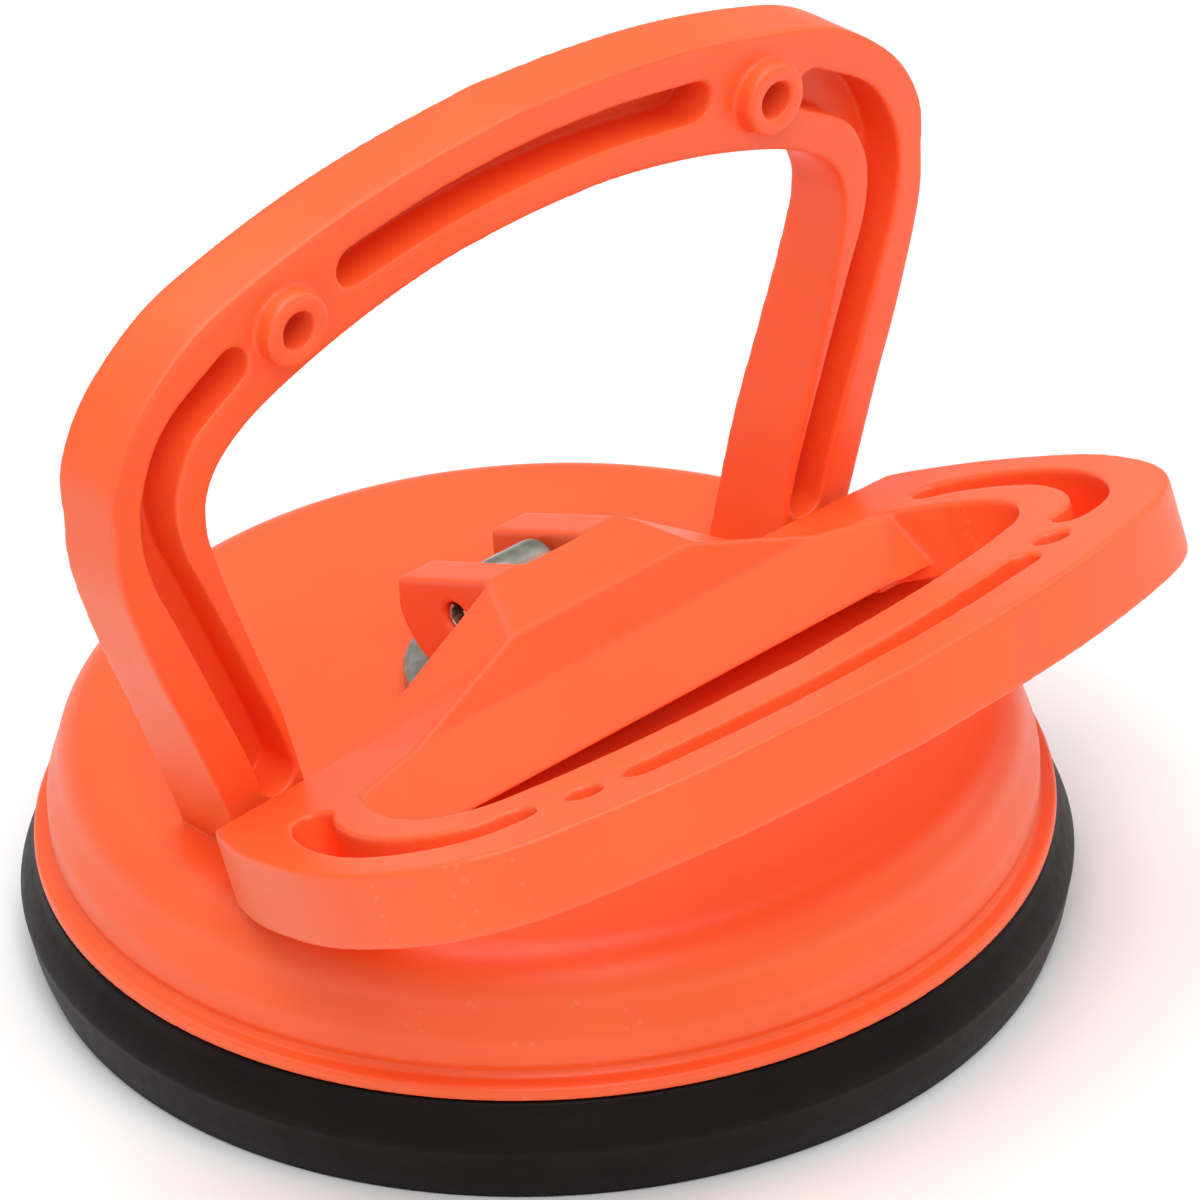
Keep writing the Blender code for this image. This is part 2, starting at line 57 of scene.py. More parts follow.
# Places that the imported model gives
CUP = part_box("rubber_cup")
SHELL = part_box("housing")
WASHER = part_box("thrust_washer")
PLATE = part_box("pull_plate")
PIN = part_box("hinge_pin")
CUP_RADIUS = CUP[1][0]
HANDLE_TOP = SHELL[1][2]
PULL_Y = (WASHER[0][1] + WASHER[1][1]) / 2
PIN_Z = (PIN[0][2] + PIN[1][2]) / 2
WASHER_TOP = WASHER[1][2]

# Clearance between pieces that rest on or turn in each other
GAP = 0.0003

# Rubber cup
CUP_HEIGHT = 0.012
MEMBRANE_TOP = 0.007
HOLLOW_DEPTH = 0.003
LIP_INSET = 0.0017  # from the widest line in to the lip's outer edge
LIP_WIDTH = 0.0048
RIM_INSET = 0.0095  # from the widest line in to the inner edge of the rim's top
RIM_EDGE = 0.0006
LIP_EDGE = 0.0004

# Stud, pin and the steel's small edges
STUD_RADIUS = 0.0038
SPIGOT_RADIUS = 0.003
EYE_RADIUS = 0.0043
EYE_HALF_WIDTH = 0.0036
PIN_RADIUS = 0.0016
PIN_WALL = 0.0004
PIN_ARC = (125, 415)  # in degrees, so that the rolled pin's slot faces up
PIN_EDGE = 0.00012
BORE_RADIUS = PIN_RADIUS + GAP
SHANK_HOLE_RADIUS = 0.0046
WASHER_EDGE = 0.001
WASHER_BURR = 0.0003
PLATE_EDGE = 0.0004

# Shell
SHELL_TOP = 0.0273
SHELL_WALL = 0.003
WALL_INSET = 0.0038  # from the rubber's widest line in to the shell's wall
FLANGE_INSET = 0.002
FLANGE_EDGE = 0.0006
SHELL_DRAFT = 0.0012
SHOULDER_RADIUS = 0.006
INNER_CORNER = 0.004
SEAT_RADIUS = 0.013
SEAT_TOP = 0.0283
CRISP_TOP = 0.017  # below this height the flange and its groove keep their sharper edges

# Handle
HANDLE_FRONT = -0.0022
HANDLE_DEPTH = 0.0087
FOOT_EXTRA_DEPTH = 0.0028
FOOT_SINK = 0.0018
HANDLE_SLOT_WIDTH = 0.0047
HANDLE_SLOT_DEPTH = 0.0057
TAPER_START = SHELL_TOP + 0.6 * (HANDLE_TOP - SHELL_TOP)
LOCK_X = 0.585 * CUP_RADIUS
LOCK_RISE = 0.842
BOSS_RADIUS = 0.0042
BOSS_FRONT = -0.0046
BOSS_REAR = 0.002
HANDLE_LOCK_RADIUS = 0.0021

# Lever
PULL_STROKE = 0.0012
LEVER_TRAVEL = math.radians(68.5)
LEVER_REST = math.radians(21)
LEVER_HALF_WIDTH = CUP_RADIUS - 0.0007
LEVER_REACH = 0.0620
LEVER_REAR = 0.00231
PLATE_DROP = 0.0071  # from the pin's axis down to the lever's top face
LEVER_THICKNESS = 0.0085
LEVER_SLOT_WIDTH = 0.0043
LEVER_SLOT_DEPTH = 0.0065
LEVER_LOCK_RADIUS = 0.002
LOCK_ALONG = 0.767
CHEEK_INNER = 0.0042
CHEEK_OUTER = 0.0098
CHEEK_TOP = 0.0046
CHEEK_REAR = 0.0086
CHEEK_FRONT = 0.0105
CHEEK_GAP_FRONT = 0.0077
CAM_OVERRUN = 1.008  # the cam goes on a little past the last point that touches
POCKET_CLEARANCE = 0.002
BLOCK_FLOOR = 0.0137  # from the pin's axis down to the underside behind the finger hole
RECESS_HALF_WIDTH = 0.036
RECESS_FRONT = 0.0202
HOLE_CORNER = 0.001


# ---------------------------------------------------------------- outlines

def curve_through(points, steps=CURVE_STEPS):
    """A smooth open curve through the points, as a Catmull-Rom spline."""
    first = 2 * Vector(points[0]) - Vector(points[1])
    last = 2 * Vector(points[-1]) - Vector(points[-2])
    knots = [first] + [Vector(p) for p in points] + [last]
    curve = []
    for a, b, c, d in zip(knots, knots[1:], knots[2:], knots[3:]):
        for step in range(steps):
            t = step / steps
            curve.append(0.5 * (2 * b + (c - a) * t + (2 * a - 5 * b + 4 * c - d) * t**2
                                + (3 * b - a - 3 * c + d) * t**3))
    curve.append(knots[-2])
    return curve


def mirrored(half):
    """A closed outline from its half at X >= 0. Points on the centre line are used once."""
    other = [Vector((-p[0], p[1])) for p in reversed(half) if p[0] > 1e-6]
    return [Vector(p) for p in half] + other


def other_side(line):
    return [Vector((-p[0], p[1])) for p in line]


def arc(centre, radius, start, end, steps):
    """Points of an arc, with its angles in degrees."""
    angles = [math.radians(start + (end - start) * step / steps) for step in range(steps + 1)]
    return [(centre[0] + radius * math.cos(a), centre[1] + radius * math.sin(a)) for a in angles]


def circle(x, y, radius, steps=CIRCLE_STEPS):
    return [Vector(p) for p in arc((x, y), radius, 0, 360, steps)[:-1]]


def ribbon(points, width):
    """A slot's outline: a smooth centre line with parallel sides and round ends."""
    line = curve_through(points)
    left, right = [], []
    for index, point in enumerate(line):
        along = (line[min(index + 1, len(line) - 1)] - line[max(index - 1, 0)]).normalized()
        side = Vector((-along.y, along.x)) * width / 2
        left.append(point + side)
        right.append(point - side)

    def end(centre, start):
        turns = [-math.pi * step / END_STEPS for step in range(1, END_STEPS)]
        return [centre + Matrix.Rotation(turn, 2) @ (start - centre) for turn in turns]

    return left + end(line[-1], left[-1]) + right[::-1] + end(line[0], right[0])


# ---------------------------------------------------------------- solids

def object_from(solid, name):
    """Closes the bmesh into an object, with its faces turned outwards."""
    bmesh.ops.recalc_face_normals(solid, faces=solid.faces[:])
    mesh = bpy.data.meshes.new(name)
    solid.to_mesh(mesh)
    solid.free()
    obj = bpy.data.objects.new(name, mesh)
    bpy.context.scene.collection.objects.link(obj)
    return obj


def add_prism(solid, outline, low, high, place):
    """Extrudes an outline from low to high. place(a, b, height) gives the point in space."""
    bottom = [solid.verts.new(place(p[0], p[1], low)) for p in outline]
    top = [solid.verts.new(place(p[0], p[1], high)) for p in outline]
    solid.faces.new(bottom)
    solid.faces.new(top[::-1])
    for index in range(len(outline)):
        after = (index + 1) % len(outline)
        solid.faces.new((bottom[index], top[index], top[after], bottom[after]))


def prisms(name, outlines, low, high, place):
    solid = bmesh.new()
    for outline in outlines:
        add_prism(solid, outline, low, high, place)
    return object_from(solid, name)


def facing_front(x, z, y):
    """Outlines drawn in the XZ plane and extruded along Y."""
    return Vector((x, y, z))


def across(y, z, x):
    """Outlines drawn in the YZ plane and extruded along X."""
    return Vector((x, y, z))


def upright(x, y, z):
    return Vector((x, y, z))


TO_LEVER = Matrix.Translation((0, PULL_Y, PIN_Z)) @ Matrix.Rotation(-LEVER_REST, 4, "X")


def on_lever(x, u, w):
    """Lever coordinates: u runs from the pin to the free end, and w is square to the lever's top."""
    return TO_LEVER @ Vector((x, -u, w))


def across_lever(u, w, x):
    return TO_LEVER @ Vector((x, -u, w))


def turned(name, profile, y=0.0, steps=SPOKES):
    """A solid of revolution about the vertical line at y, from a closed profile of (radius, z)."""
    solid = bmesh.new()
    angles = [2 * math.pi * step / steps for step in range(steps)]
    rings = []
    for radius, z in profile:
        if radius < 1e-7:
            rings.append([solid.verts.new((0, y, z))] * steps)
        else:
            rings.append([solid.verts.new((radius * math.cos(a), y + radius * math.sin(a), z))
                          for a in angles])
    for ring, following in zip(rings, rings[1:] + rings[:1]):
        for step in range(steps):
            after = (step + 1) % steps
            corners = [ring[step], ring[after], following[after], following[step]]
            corners = [v for i, v in enumerate(corners) if v is not corners[i - 1]]
            if len(corners) > 2:
                solid.faces.new(corners)
    return object_from(solid, name)


def settle(obj):
    """Replaces the object's mesh with what its modifiers make of it."""
    bpy.context.view_layer.update()
    graph = bpy.context.evaluated_depsgraph_get()
    mesh = bpy.data.meshes.new_from_object(obj.evaluated_get(graph))
    obj.modifiers.clear()
    obj.data = mesh


def combine(target, other, operation):
    """Joins or cuts target with the other object, which is then removed."""
    modifier = target.modifiers.new(other.name, "BOOLEAN")
    modifier.operation = operation
    modifier.object = other
    modifier.solver = "EXACT"
    settle(target)
    bpy.data.objects.remove(other)


def shade(obj, sharp_angle):
    """Smooth shading, with sharp edges where faces meet at more than the angle in degrees."""
    obj.data.shade_smooth()
    obj.data.set_sharp_from_angle(angle=math.radians(sharp_angle))


def mould(obj, depth, rounds, softness=None):
    """Gives a piece the small radii of a moulding: an even mesh, smoothed. softness(point) is 0 to 1."""
    remesh = obj.modifiers.new("even mesh", "REMESH")
    remesh.mode = "SHARP"
    remesh.octree_depth = depth
    remesh.scale = 0.99
    remesh.use_remove_disconnected = False
    settle(obj)
    smooth = obj.modifiers.new("radii", "SMOOTH")
    smooth.factor = 0.5
    smooth.iterations = rounds
    if softness:
        group = obj.vertex_groups.new(name="softness")
        for vertex in obj.data.vertices:
            group.add([vertex.index], softness(vertex.co), "REPLACE")
        smooth.vertex_group = group.name
    settle(obj)
    obj.vertex_groups.clear()
    obj.data.shade_smooth()


# ---------------------------------------------------------------- housing

def shell():
    """The hollow dome: flange, groove, wall, rounded shoulder and nearly flat top."""
    bottom = CUP_HEIGHT + GAP
    wall = CUP_RADIUS - WALL_INSET
    flange = CUP_RADIUS - FLANGE_INSET
    centre = (wall - SHELL_DRAFT - SHOULDER_RADIUS, SHELL_TOP - SHOULDER_RADIUS)
    inner = wall - SHELL_WALL
    top = SHELL_TOP - SHELL_WALL
    groove = [(wall, 0.0185), (wall, 0.0156), (wall - 0.0004, 0.0147), (wall + 0.0001, 0.01405)]
    profile = [(0, SHELL_TOP)] + arc(centre, SHOULDER_RADIUS, 90, 8, 14) + groove
    profile += arc((flange - FLANGE_EDGE, bottom + 0.001), FLANGE_EDGE, 90, 0, 5)
    profile += [(flange, bottom), (inner, bottom), (inner, top - SHOULDER_RADIUS + 0.001)]
    profile += arc((inner - INNER_CORNER, top - INNER_CORNER), INNER_CORNER, 0, 90, 8)
    profile += [(0, top)]
    return turned("housing_moulding", profile)


def handle_point(share, rise):
    """A point of the handle, from its share of the half span and of the rise above the shell."""
    return Vector((share * CUP_RADIUS, SHELL_TOP + rise * (HANDLE_TOP - SHELL_TOP)))


def loop_outline(points):
    """The smooth half outline from the crown to the foot, closed down inside the shell's top."""
    half = curve_through([handle_point(*p) for p in points])
    half.append(Vector((half[-1].x, SHELL_TOP - FOOT_SINK)))
    return mirrored(half)


OUTER_LOOP = (
    (0, 1), (0.24, 0.988), (0.444, 0.966), (0.647, 0.928), (0.80, 0.883), (0.932, 0.799),
    (0.995, 0.710), (1.0, 0.629), (0.99, 0.533), (0.932, 0.386), (0.864, 0.250), (0.785, 0.079),
    (0.75, 0),
)
INNER_LOOP = (
    (0, 0.826), (0.20, 0.818), (0.40, 0.790), (0.58, 0.748), (0.70, 0.705), (0.772, 0.650),
    (0.790, 0.580), (0.762, 0.485), (0.708, 0.356), (0.652, 0.226), (0.615, 0.109), (0.585, 0),
)
LEG_SLOT = (
    (0.712, 0.810), (0.831, 0.751), (0.881, 0.687), (0.897, 0.622), (0.881, 0.543),
    (0.836, 0.456), (0.783, 0.352), (0.705, 0.197), (0.671, 0.116),
)
CROWN_SLOT = ((-0.417, 0.879), (-0.21, 0.902), (0, 0.910), (0.21, 0.902), (0.417, 0.879))


def handle():
    """One plate whose legs thicken backwards towards their feet, with slots and lock bosses."""
    solid = bmesh.new()
    add_prism(solid, loop_outline(OUTER_LOOP), HANDLE_FRONT, HANDLE_FRONT + HANDLE_DEPTH, facing_front)
    bmesh.ops.recalc_face_normals(solid, faces=solid.faces[:])
    bmesh.ops.bisect_plane(solid, geom=solid.verts[:] + solid.edges[:] + solid.faces[:],
                           plane_co=(0, 0, TAPER_START), plane_no=(0, 0, 1))
    for vertex in solid.verts:
        below = max(0.0, (TAPER_START - vertex.co.z) / (TAPER_START - SHELL_TOP))
        vertex.co.y += FOOT_EXTRA_DEPTH * below * (vertex.co.y - HANDLE_FRONT) / HANDLE_DEPTH
    loop = object_from(solid, "loop")
    combine(loop, prisms("opening", [loop_outline(INNER_LOOP)], -FAR, FAR, facing_front), "DIFFERENCE")
    leg = [handle_point(*p) for p in LEG_SLOT]
    crown = [handle_point(*p) for p in CROWN_SLOT]
    slots = [ribbon(line, HANDLE_SLOT_WIDTH) for line in (leg, other_side(leg), crown)]
    slot_floor = HANDLE_FRONT + HANDLE_SLOT_DEPTH
    combine(loop, prisms("slots", slots, -FAR, slot_floor, facing_front), "DIFFERENCE")
    lock_z = handle_point(0, LOCK_RISE).y
    locks = [(LOCK_X, lock_z), (-LOCK_X, lock_z)]
    bosses = [circle(x, z, BOSS_RADIUS) for x, z in locks]
    combine(loop, prisms("bosses", bosses, BOSS_FRONT, BOSS_REAR, facing_front), "UNION")
    holes = [circle(x, z, HANDLE_LOCK_RADIUS) for x, z in locks]
    combine(loop, prisms("holes", holes, -FAR, FAR, facing_front), "DIFFERENCE")
    return loop


def housing():
    body = shell()
    combine(body, handle(), "UNION")
    sunk = SHELL_TOP - FOOT_SINK
    seat = turned("seat", [(0, SEAT_TOP), (SEAT_RADIUS, SEAT_TOP), (SEAT_RADIUS, sunk), (0, sunk)],
                  y=PULL_Y, steps=SEAT_SPOKES)
    combine(body, seat, "UNION")
    above, below = 0.032, 0.022
    shank = turned("shank", [(0, above), (SHANK_HOLE_RADIUS, above), (SHANK_HOLE_RADIUS, below),
                             (0, below)], y=PULL_Y, steps=SHANK_SPOKES)
    combine(body, shank, "DIFFERENCE")
    mould(body, depth=9, rounds=28, softness=lambda p: 0.3 if p.z < CRISP_TOP else 1.0)
    return body


# ---------------------------------------------------------------- lever

def lever_point(share, along):
    """A point of the lever's top, from its share of the half width and of the length."""
    return Vector((share * LEVER_HALF_WIDTH, LEVER_REAR + along * (LEVER_REACH - LEVER_REAR)))


LEVER_SIDE = (
    (0, 1), (0.24, 0.984), (0.458, 0.955), (0.660, 0.905), (0.806, 0.850), (0.897, 0.780),
    (0.959, 0.682), (0.992, 0.5645), (1.0, 0.464), (0.988, 0.363), (0.952, 0.2126),
    (0.900, 0.087), (0.866, 0.028),
)
LEVER_BACK = ((0.686, 0.015), (0.513, 0))
FINGER_HOLE_FRONT = (
    (0.729, 0.330), (0.750, 0.414), (0.746, 0.497), (0.714, 0.554), (0.662, 0.596),
    (0.604, 0.615), (0.531, 0.636), (0.326, 0.672), (0, 0.697),
)
CORNER_SLOT = (
    (0.793, 0.229), (0.829, 0.280), (0.863, 0.363), (0.878, 0.447), (0.875, 0.514),
    (0.854, 0.581), (0.819, 0.640), (0.768, 0.688), (0.704, 0.708),
)
FRONT_SLOT = ((-0.480, 0.799), (-0.240, 0.833), (0, 0.8425), (0.240, 0.833), (0.480, 0.799))

# The raised block behind the finger hole: half of its corners, as (X, u, w) on the lever
BLOCK_TOP_REAR = (CHEEK_OUTER, 0.0078, CHEEK_TOP)
BLOCK_RIDGE = (0.0135, 0.0144, 0)
BLOCK_STEP = (0.0295, 0.0152, -0.0056)
BLOCK_FOOT = (0.0425, 0.0192, -0.0139)
BLOCK_WING_REAR = (0.030, LEVER_REAR + 0.0005, -PLATE_DROP - 0.0002)
BLOCK_WING_FRONT_X = 0.040
BLOCK_SINK = 0.0028
FINGER_HOLE_REAR = 0.0150


def lever_block():
    """The faceted block between the cheeks and the finger hole, on both sides of the centre plane."""
    solid = bmesh.new()

    def corner(point):
        return [solid.verts.new(on_lever(side * point[0], point[1], point[2])) for side in (1, -1)]

    wing_height = BLOCK_WING_REAR[2]
    down = (BLOCK_STEP[2] - wing_height) / (BLOCK_STEP[2] - BLOCK_FOOT[2])
    wing_front_u = BLOCK_STEP[1] + down * (BLOCK_FOOT[1] - BLOCK_STEP[1])
    top_rear = corner(BLOCK_TOP_REAR)
    ridge = corner(BLOCK_RIDGE)
    step = corner(BLOCK_STEP)
    foot = corner(BLOCK_FOOT)
    wing_front = corner((BLOCK_WING_FRONT_X, wing_front_u, wing_height))
    wing_rear = corner(BLOCK_WING_REAR)
    base_rear = corner((BLOCK_WING_REAR[0], BLOCK_WING_REAR[1], wing_height - BLOCK_SINK))
    for side in (0, 1):
        solid.faces.new((top_rear[side], wing_rear[side], ridge[side]))
        solid.faces.new((ridge[side], wing_rear[side], step[side]))
        solid.faces.new((step[side], wing_rear[side], wing_front[side]))
        solid.faces.new((wing_rear[side], base_rear[side], foot[side], wing_front[side]))
    solid.faces.new((top_rear[0], ridge[0], ridge[1], top_rear[1]))
    solid.faces.new((ridge[0], step[0], step[1], ridge[1]))
    solid.faces.new((step[0], wing_front[0], foot[0], foot[1], wing_front[1], step[1]))
    solid.faces.new((top_rear[0], top_rear[1], wing_rear[1], wing_rear[0]))
    solid.faces.new((wing_rear[0], wing_rear[1], base_rear[1], base_rear[0]))
    solid.faces.new((base_rear[0], foot[0], foot[1], base_rear[1]))
    bmesh.ops.triangulate(solid, faces=solid.faces[:])
    return object_from(solid, "block")


def cheek_outline():
    """The cheek's cam follows the pin's even rise over the lever's whole turn."""
    low = PIN_Z - WASHER_TOP - GAP
    rise = PULL_STROKE / LEVER_TRAVEL
    cam = []
    for step in range(CAM_STEPS + 1):
        angle = LEVER_REST + LEVER_TRAVEL * CAM_OVERRUN * step / CAM_STEPS
        height = low + rise * (angle - LEVER_REST)
        cam.append((-(height * math.sin(angle) + rise * math.cos(angle)),
                    -(height * math.cos(angle) - rise * math.sin(angle))))
    floor = -(low + CHEEK_FRONT * math.sin(LEVER_REST)) / math.cos(LEVER_REST)
    return cam + [(-CHEEK_REAR, CHEEK_TOP), (BLOCK_TOP_REAR[1], CHEEK_TOP), (CHEEK_FRONT, 0),
                  (CHEEK_FRONT, floor)]


def lever():
    """The ring with its slots and block, then the cheeks, all drawn at the lever's rest angle."""
    top = -PLATE_DROP
    outline = mirrored(curve_through([lever_point(*p) for p in LEVER_SIDE])
                       + [lever_point(*p) for p in LEVER_BACK])
    body = prisms("lever_moulding", [outline], top - LEVER_THICKNESS, top, on_lever)
    hole = [(0, FINGER_HOLE_REAR), (BLOCK_WING_FRONT_X - HOLE_CORNER, FINGER_HOLE_REAR)]
    hole = mirrored(hole + curve_through([lever_point(*p) for p in FINGER_HOLE_FRONT]))
    combine(body, prisms("finger_hole", [hole], -FAR, FAR, on_lever), "DIFFERENCE")
    combine(body, lever_block(), "UNION")
    corner = [lever_point(*p) for p in CORNER_SLOT]
    front = [lever_point(*p) for p in FRONT_SLOT]
    slots = [ribbon(line, LEVER_SLOT_WIDTH) for line in (corner, other_side(corner), front)]
    combine(body, prisms("slots", slots, top - LEVER_SLOT_DEPTH, FAR, on_lever), "DIFFERENCE")
    lock_u = lever_point(0, LOCK_ALONG).y
    holes = [circle(x, lock_u, LEVER_LOCK_RADIUS) for x in (LOCK_X, -LOCK_X)]
    combine(body, prisms("holes", holes, -FAR, FAR, on_lever), "DIFFERENCE")
    recess = [(-RECESS_HALF_WIDTH, -FAR), (RECESS_HALF_WIDTH, -FAR),
              (RECESS_HALF_WIDTH, RECESS_FRONT), (-RECESS_HALF_WIDTH, RECESS_FRONT)]
    combine(body, prisms("recess", [recess], -FAR, -BLOCK_FLOOR, on_lever), "DIFFERENCE")
    square = [(-FAR, -FAR), (FAR, -FAR), (FAR, FAR), (-FAR, FAR)]
    combine(body, prisms("heel", [square], -FAR, SHELL_TOP + GAP, upright), "DIFFERENCE")
    pocket = circle(0, PULL_Y, WASHER[1][0] + POCKET_CLEARANCE, 96)
    combine(body, prisms("pocket", [pocket], -FAR, WASHER_TOP + 2 * GAP, upright), "DIFFERENCE")
    cheeks = prisms("cheeks", [cheek_outline()], -CHEEK_OUTER, CHEEK_OUTER, across_lever)
    combine(body, cheeks, "UNION")
    gap = [(-FAR, -FAR), (CHEEK_GAP_FRONT, -FAR), (CHEEK_GAP_FRONT, FAR), (-FAR, FAR)]
    combine(body, prisms("gap", [gap], -CHEEK_INNER, CHEEK_INNER, across_lever), "DIFFERENCE")
    bore = [circle(0, 0, BORE_RADIUS)]
    combine(body, prisms("bore", bore, -FAR, FAR, across_lever), "DIFFERENCE")
    mould(body, depth=9, rounds=34)
    return body


# ---------------------------------------------------------------- rubber and steel

def rubber():
    """The cup: a thick rim with a bulging side, a flat lip, and a shallow hollow under the middle."""
    lip = CUP_RADIUS - LIP_INSET
    rim = CUP_RADIUS - RIM_INSET
    profile = [(0, MEMBRANE_TOP), (rim - (CUP_HEIGHT - MEMBRANE_TOP), MEMBRANE_TOP), (rim, CUP_HEIGHT)]
    profile += arc((CUP_RADIUS - FLANGE_INSET - RIM_EDGE, CUP_HEIGHT - RIM_EDGE), RIM_EDGE, 90, 20, 5)
    profile += curve_through([(CUP_RADIUS - 0.0018, 0.0109), (CUP_RADIUS - 0.0008, 0.0090),
                              (CUP_RADIUS - 0.0001, 0.0072), (CUP_RADIUS - 0.0002, 0.0062),
                              (lip + 0.0009, 0.0030), (lip + 0.0001, 0.0006)], 4)
    profile += arc((lip - LIP_EDGE, LIP_EDGE), LIP_EDGE, 0, -90, 4)
    profile += [(lip - LIP_WIDTH, 0), (lip - LIP_WIDTH - 0.0005, 0.0002), (0.042, 0.7 * HOLLOW_DEPTH),
                (0.026, HOLLOW_DEPTH), (0, HOLLOW_DEPTH)]
    obj = turned("cup_rubber", profile)
    shade(obj, 50)
    return obj


def washer():
    low, high = WASHER[0][2], WASHER[1][2]
    outer, hole = WASHER[1][0], SHANK_HOLE_RADIUS
    profile = arc((hole + WASHER_BURR, high - WASHER_BURR), WASHER_BURR, 180, 90, 4)
    profile += arc((outer - WASHER_EDGE, high - WASHER_EDGE), WASHER_EDGE, 90, 0, 8)
    profile += arc((outer - WASHER_BURR, low + WASHER_BURR), WASHER_BURR, 0, -90, 4) + [(hole, low)]
    obj = turned("wear_washer", profile, y=PULL_Y, steps=RING_SPOKES)
    shade(obj, 40)
    return obj


def stud():
    foot = MEMBRANE_TOP + 2 * GAP
    shoulder = PLATE[1][2] + GAP
    obj = turned("eye_stud", [(0, PIN_Z), (STUD_RADIUS, PIN_Z), (STUD_RADIUS, shoulder),
                              (SPIGOT_RADIUS, shoulder), (SPIGOT_RADIUS, foot), (0, foot)],
                 y=PULL_Y, steps=CIRCLE_STEPS)
    eye = circle(PULL_Y, PIN_Z, EYE_RADIUS, 96)
    combine(obj, prisms("eye", [eye], -EYE_HALF_WIDTH, EYE_HALF_WIDTH, across), "UNION")
    bore = circle(PULL_Y, PIN_Z, BORE_RADIUS)
    combine(obj, prisms("bore", [bore], -FAR, FAR, across), "DIFFERENCE")
    mould(obj, depth=7, rounds=40)
    return obj


def spring_pin():
    """A rolled tube with a lengthwise slot."""
    outer = arc((0, 0), PIN_RADIUS, PIN_ARC[0], PIN_ARC[1], 56)
    inner = arc((0, 0), PIN_RADIUS - PIN_WALL, PIN_ARC[1], PIN_ARC[0], 56)
    ring = [Vector((PULL_Y + p[0], PIN_Z + p[1])) for p in outer + inner]
    obj = prisms("spring_pin", [ring], PIN[0][0], PIN[1][0], across)
    bevel = obj.modifiers.new("edges", "BEVEL")
    bevel.width = PIN_EDGE
    bevel.segments = 2
    bevel.limit_method = "ANGLE"
    bevel.angle_limit = math.radians(50)
    settle(obj)
    shade(obj, 30)
    return obj


def lift_plate():
    low, high = PLATE[0][2], PLATE[1][2]
    outer, hole = PLATE[1][0], SPIGOT_RADIUS + GAP
    profile = [(hole, high)] + arc((outer - PLATE_EDGE, high - PLATE_EDGE), PLATE_EDGE, 90, 0, 4)
    profile += arc((outer - PLATE_EDGE, low + PLATE_EDGE), PLATE_EDGE, 0, -90, 4) + [(hole, low)]
    obj = turned("lift_plate", profile, y=PULL_Y, steps=RING_SPOKES)
    shade(obj, 40)
    return obj


# ---------------------------------------------------------------- materials

class Nodes:
    """A material's node tree, with its links made by name."""

    def __init__(self, name):
        self.material = bpy.data.materials.new(name)
        self.material.use_nodes = True
        self.tree = self.material.node_tree
        self.shader = self.tree.nodes["Principled BSDF"]
        self.place = self.add("ShaderNodeTexCoord").outputs["Object"]

    def add(self, kind, **values):
        node = self.tree.nodes.new(kind)
        for key, value in values.items():
            if key in node.inputs:
                node.inputs[key].default_value = value
            else:
                setattr(node, key, value)
        return node

    def link(self, start, end):
        self.tree.links.new(start, end)

    def noise(self, scale, detail, stretch=None):
        node = self.add("ShaderNodeTexNoise", Scale=scale, Detail=detail)
        place = self.place
        if stretch:
            mapping = self.add("ShaderNodeMapping", Scale=stretch)
            self.link(place, mapping.inputs["Vector"])
            place = mapping.outputs["Vector"]
        self.link(place, node.inputs["Vector"])
        return node.outputs["Fac"]

    def spread(self, value, low, high):
        node = self.add("ShaderNodeMapRange", **{"To Min": low, "To Max": high})
        self.link(value, node.inputs["Value"])
        return node.outputs["Result"]

    def ramp(self, value, stops):
        node = self.add("ShaderNodeValToRGB")
        elements = node.color_ramp.elements
        while len(elements) < len(stops):
            elements.new(0.5)
        for element, (position, colour) in zip(elements, stops):
            element.position = position
            element.color = (*colour, 1)
        self.link(value, node.inputs["Fac"])
        return node.outputs["Color"]

    def mix(self, share, first, second):
        node = self.add("ShaderNodeMix", data_type="RGBA")
        self.link(share, node.inputs["Factor"])
        self.link(first, node.inputs[6])
        self.link(second, node.inputs[7])
        return node.outputs[2]

    def bump(self, heights):
        """heights are (value, strength, distance), laid one over another."""
        normal = None
        for value, strength, distance in heights:
            node = self.add("ShaderNodeBump", Strength=strength, Distance=distance)
            self.link(value, node.inputs["Height"])
            if normal:
                self.link(normal, node.inputs["Normal"])
            normal = node.outputs["Normal"]
        self.link(normal, self.shader.inputs["Normal"])

    def finish(self, colour, roughness, **settings):
        self.link(colour, self.shader.inputs["Base Color"])
        self.link(roughness, self.shader.inputs["Roughness"])
        for key, value in settings.items():
            self.shader.inputs[key.replace("_", " ")].default_value = value
        return self.material


def orange_plastic():
    """Moulded ABS: a fine grain, faint flow clouding, and edges painted a little paler, partly as rubbed
    wear and partly as a painted highlight.
    """
    made = Nodes("orange_abs")
    cloud = made.noise(38, 4)
    body = made.ramp(cloud, [(0.25, (0.95, 0.112, 0.022)), (0.75, (1.0, 0.132, 0.032))])
    # Sharp edges are painted paler and pinker: partly rubbed wear, partly a painted highlight where
    # light catches the edges.
    edges = made.add("ShaderNodeNewGeometry").outputs["Pointiness"]
    edge_wear_and_highlight_mask = made.ramp(edges, [(0.53, (0, 0, 0)), (0.66, (0.55, 0.55, 0.55))])
    pale_wear_and_highlight = made.ramp(cloud, [(0.3, (1.0, 0.19, 0.075)), (0.8, (1.0, 0.22, 0.10))])
    colour = made.mix(edge_wear_and_highlight_mask, body, pale_wear_and_highlight)
    roughness = made.spread(made.noise(260, 3), 0.36, 0.50)
    made.bump([(made.noise(2600, 2), 0.10, 0.00006), (made.noise(120, 2), 0.10, 0.0002)])
    return made.finish(colour, roughness, IOR=1.48)


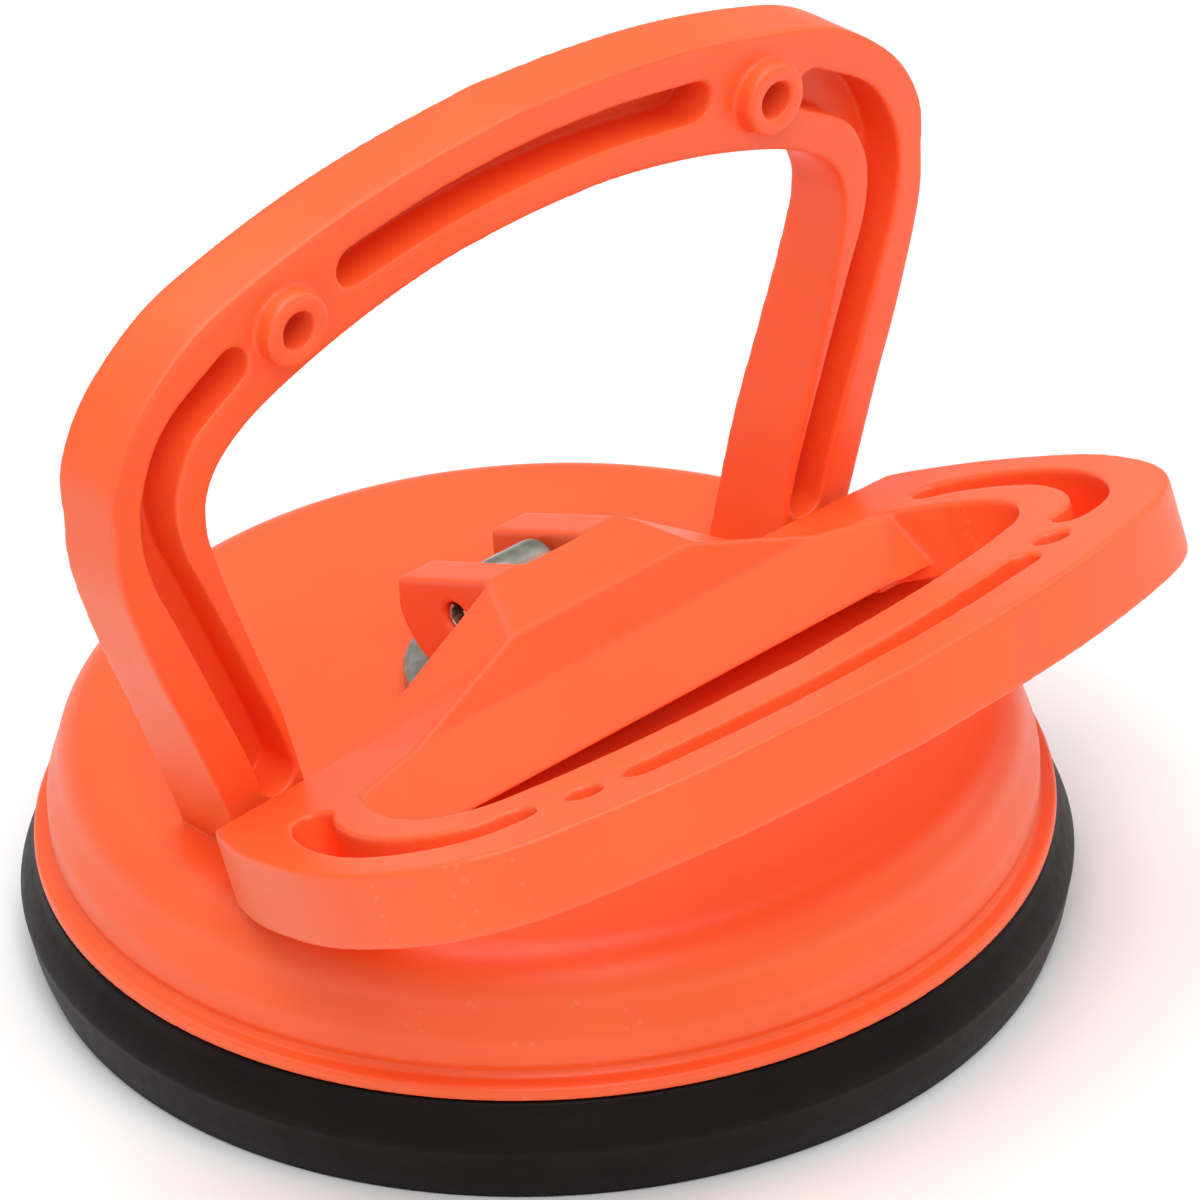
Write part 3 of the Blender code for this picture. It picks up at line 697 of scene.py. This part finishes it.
def black_rubber():
    """Moulded rubber: dull black, with a dusty bloom and a fine grain."""
    made = Nodes("black_rubber")
    bloom = made.noise(95, 6)
    colour = made.ramp(bloom, [(0.35, (0.005, 0.0016, 0.002)), (0.8, (0.010, 0.005, 0.0055))])
    roughness = made.spread(made.noise(700, 4), 0.42, 0.62)
    made.bump([(made.noise(1800, 3), 0.18, 0.00008), (made.noise(60, 2), 0.12, 0.0004)])
    return made.finish(colour, roughness, IOR=1.5, Specular_IOR_Level=0.16)


def zinc_steel(name, low, high, stretch):
    """Zinc-plated steel with drawn scratches and a few dull patches."""
    made = Nodes(name)
    patches = made.noise(420, 5)
    colour = made.ramp(patches, [(0.3, (0.36, 0.36, 0.31)), (0.75, (0.60, 0.60, 0.54))])
    scratches = made.noise(900, 4, stretch)
    roughness = made.spread(patches, low, high)
    made.bump([(scratches, 0.25, 0.00005)])
    return made.finish(colour, roughness, Metallic=1.0)


# ---------------------------------------------------------------- stage

def add_light(name, place, target, size, power):
    """A round soft lamp. Its size is in metres and its power in watts."""
    light = bpy.data.lights.new(name, "AREA")
    light.shape = "DISK"
    light.size = size
    light.energy = power
    obj = bpy.data.objects.new(name, light)
    bpy.context.scene.collection.objects.link(obj)
    obj.location = place
    obj.rotation_euler = (Vector(target) - Vector(place)).to_track_quat("-Z", "Y").to_euler()


def stage():
    """A pale floor, a white surround, one large soft lamp overhead and two weak ones in front."""
    floor_radius, floor_depth = 4.0, 0.02
    floor = prisms("floor", [circle(0, 0, floor_radius)], -floor_depth, 0.0, upright)
    made = Nodes("pale_floor")
    colour = made.ramp(made.noise(3, 2), [(0.3, (0.90, 0.90, 0.90)), (0.7, (0.93, 0.93, 0.93))])
    roughness = made.spread(made.noise(20, 2), 0.75, 0.85)
    floor.data.materials.append(made.finish(colour, roughness))
    world = bpy.data.worlds.new("studio")
    bpy.context.scene.world = world
    world.use_nodes = True
    background = world.node_tree.nodes["Background"]
    background.inputs["Color"].default_value = (1, 1, 1, 1)
    background.inputs["Strength"].default_value = 0.4
    add_light("overhead", (0, 0.1, 1.5), (0, 0, 0), size=1.8, power=20.0)
    add_light("key", (-0.55, -0.75, 1.1), (0, 0, 0.03), size=0.7, power=6.0)
    add_light("side", (0.9, -0.3, 0.6), (0, 0, 0.04), size=0.6, power=1.5)


def camera():
    """The photographed view: a long lens from the front left, a little rolled."""
    azimuth = math.radians(-41.376)
    elevation = math.radians(32.115)
    distance = 0.83128
    aim = Vector((0, 0, 0.03))
    back = Vector((math.sin(azimuth) * math.cos(elevation),
                   -math.cos(azimuth) * math.cos(elevation), math.sin(elevation)))
    right = Vector((0, 0, 1)).cross(back).normalized()
    up = back.cross(right)
    level = Matrix((right, up, back)).transposed()
    roll = Matrix.Rotation(math.radians(-2.793), 3, "Z")
    pitch = Matrix.Rotation(math.radians(0.514), 3, "X")
    yaw = Matrix.Rotation(math.radians(-0.493), 3, "Y")
    data = bpy.data.cameras.new("photo_view")
    data.lens = 225.95
    data.sensor_width = 36
    data.clip_start = 0.01
    obj = bpy.data.objects.new("photo_view", data)
    turn = (level @ yaw @ pitch @ roll).to_4x4()
    obj.matrix_world = Matrix.Translation(aim + distance * back) @ turn
    bpy.context.scene.collection.objects.link(obj)
    bpy.context.scene.camera = obj


# ---------------------------------------------------------------- the object

def dress(piece, material, node, body):
    """Gives a piece its material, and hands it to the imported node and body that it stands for."""
    piece.data.materials.clear()
    piece.data.materials.append(material)
    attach(piece, body)
    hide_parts(node)


camera()
stage()
bpy.context.scene.view_settings.view_transform = "Standard"
orange = orange_plastic()
dress(housing(), orange, "housing", "housing")
dress(lever(), orange, "lever", "lever")
dress(rubber(), black_rubber(), "rubber_cup", "housing")
dress(washer(), zinc_steel("washer_zinc", 0.28, 0.5, (1, 1, 0.1)), "thrust_washer", "housing")
dress(stud(), zinc_steel("stud_zinc", 0.22, 0.4, (0.15, 1, 1)), "pull_stud", "pull")
dress(spring_pin(), zinc_steel("pin_zinc", 0.2, 0.35, (0.1, 1, 1)), "hinge_pin", "pull")
dress(lift_plate(), zinc_steel("plate_zinc", 0.3, 0.5, (1, 0.1, 1)), "pull_plate", "pull")
